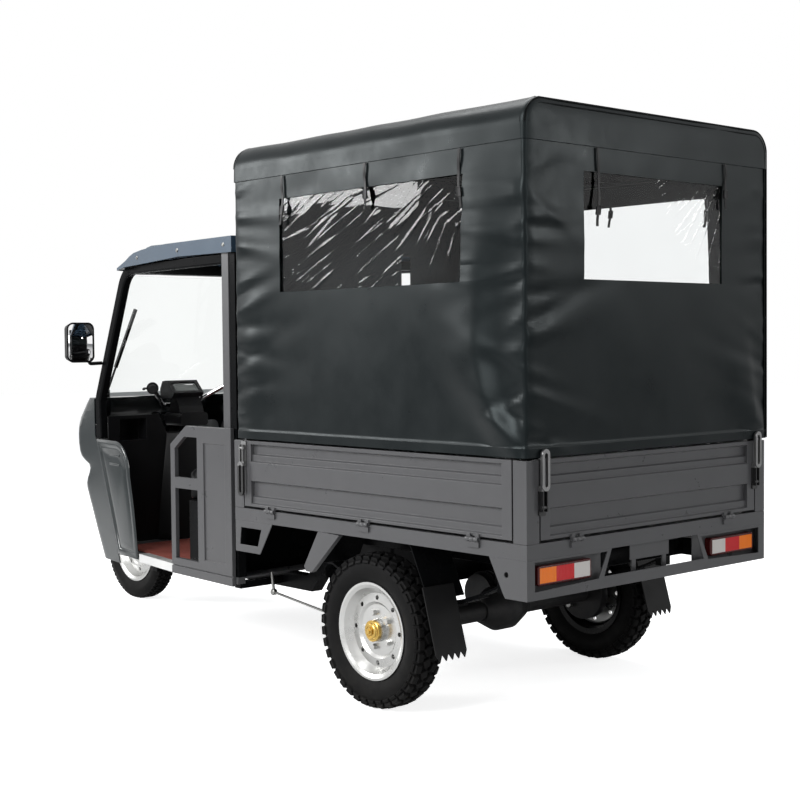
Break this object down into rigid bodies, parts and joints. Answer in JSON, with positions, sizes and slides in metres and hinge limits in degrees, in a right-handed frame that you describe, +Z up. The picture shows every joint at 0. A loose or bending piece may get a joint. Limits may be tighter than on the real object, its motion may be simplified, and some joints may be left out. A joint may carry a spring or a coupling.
{
  "type": "electric cargo tricycle",
  "caption": "Three-wheeled cargo tricycle with an open cab and windshield, handlebar steering, a drop-side bed and a soft canopy with clear windows.",
  "frame": {"origin": "on the ground under the middle of the bounding box", "axes": "+X forward, +Y to the rider's left, +Z up"},
  "size_m": [3.4764, 1.322, 1.9759],
  "materials": {
    "grey_paint": "satin",
    "dark_paint": "semi gloss",
    "shield_paint": "gloss",
    "roof_paint": "gloss",
    "black_plastic": "grained",
    "canopy_vinyl": "coated cloth, soft sheen",
    "window_film": "crinkled clear film",
    "glass": "clear",
    "mirror": "polished",
    "rim_silver": "silver lacquer",
    "tyre": "matt",
    "steel": "zinc plated",
    "chrome": "polished",
    "step_alu": "chequered",
    "mat": "ribbed",
    "seat_vinyl": "stitched vinyl",
    "rubber": "matt",
    "headlamp": "clear lens",
    "tail_lamp": "clear lens",
    "cast": "painted casting"
  },
  "bodies": {
    "chassis": {"battery_box": "black_plastic", "bed_brackets": "grey_paint", "bed_floor": "grey_paint", "bed_posts": "grey_paint", "cab_floor": "grey_paint", "cab_frame": "dark_paint", "cab_posts": "grey_paint", "cab_roof": "roof_paint", "canopy_frame": "dark_paint", "canopy_roof": "canopy_vinyl", "canopy_walls": "canopy_vinyl", "canopy_windows": "window_film", "chassis_rails": "dark_paint", "cross_members": "dark_paint", "floor_mat": "mat", "front_cowl": "grey_paint", "headlamps": "headlamp", "inner_panel": "black_plastic", "leaf_springs": "dark_paint", "leg_shields": "shield_paint", "mirror_glass": "mirror", "mirrors": "black_plastic", "motor": "cast", "mudflaps": "rubber", "rear_axle": "cast", "rear_mudguards": "black_plastic", "rear_skirt": "grey_paint", "seat_back": "seat_vinyl", "seat_base": "dark_paint", "seat_cushion": "seat_vinyl", "side_guards": "grey_paint", "steering_head": "dark_paint", "step_trims": "step_alu", "tail_lamps": "tail_lamp", "windshield": "glass", "windshield_header": "dark_paint", "wiper": "black_plastic"},
    "steering": {"fork": "dark_paint", "front_mudguard": "black_plastic", "handlebar": "chrome", "hand_controls": "rubber", "instrument": "black_plastic"},
    "front_wheel": {"front_rim": "rim_silver", "front_tyre": "tyre"},
    "rear_wheel_left": {"rear_rim_left": "rim_silver", "rear_tyre_left": "tyre"},
    "rear_wheel_right": {"rear_rim_right": "rim_silver", "rear_tyre_right": "tyre"},
    "drop_side_left": {"drop_side_left": "grey_paint", "latches_left": "steel"},
    "drop_side_right": {"drop_side_right": "grey_paint", "latches_right": "steel"},
    "tailgate": {"tailgate": "grey_paint", "latches_tail": "steel"}
  },
  "joints": [
    {"name": "steering", "type": "hinge", "parent": "chassis", "child": "steering", "pos_m": [1.128, 0, 0.93], "axis": [-0.4067, 0, 0.9135], "range_deg": [-29, 29]},
    {"name": "front_wheel_spin", "type": "hinge", "parent": "steering", "child": "front_wheel", "pos_m": [1.463, 0, 0.254], "axis": [0, 1, 0], "continuous": true},
    {"name": "rear_left_spin", "type": "hinge", "parent": "chassis", "child": "rear_wheel_left", "pos_m": [-0.977, 0.561, 0.265], "axis": [0, 1, 0], "continuous": true},
    {"name": "rear_right_spin", "type": "hinge", "parent": "chassis", "child": "rear_wheel_right", "pos_m": [-0.977, -0.561, 0.265], "axis": [0, 1, 0], "continuous": true},
    {"name": "drop_side_left_hinge", "type": "hinge", "parent": "chassis", "child": "drop_side_left", "pos_m": [-0.967, 0.628, 0.632], "axis": [-1, 0, 0], "range_deg": [0, 165]},
    {"name": "drop_side_right_hinge", "type": "hinge", "parent": "chassis", "child": "drop_side_right", "pos_m": [-0.967, -0.628, 0.632], "axis": [1, 0, 0], "range_deg": [0, 165]},
    {"name": "tailgate_hinge", "type": "hinge", "parent": "chassis", "child": "tailgate", "pos_m": [-1.725, 0, 0.632], "axis": [0, -1, 0], "range_deg": [0, 165]}
  ]
}
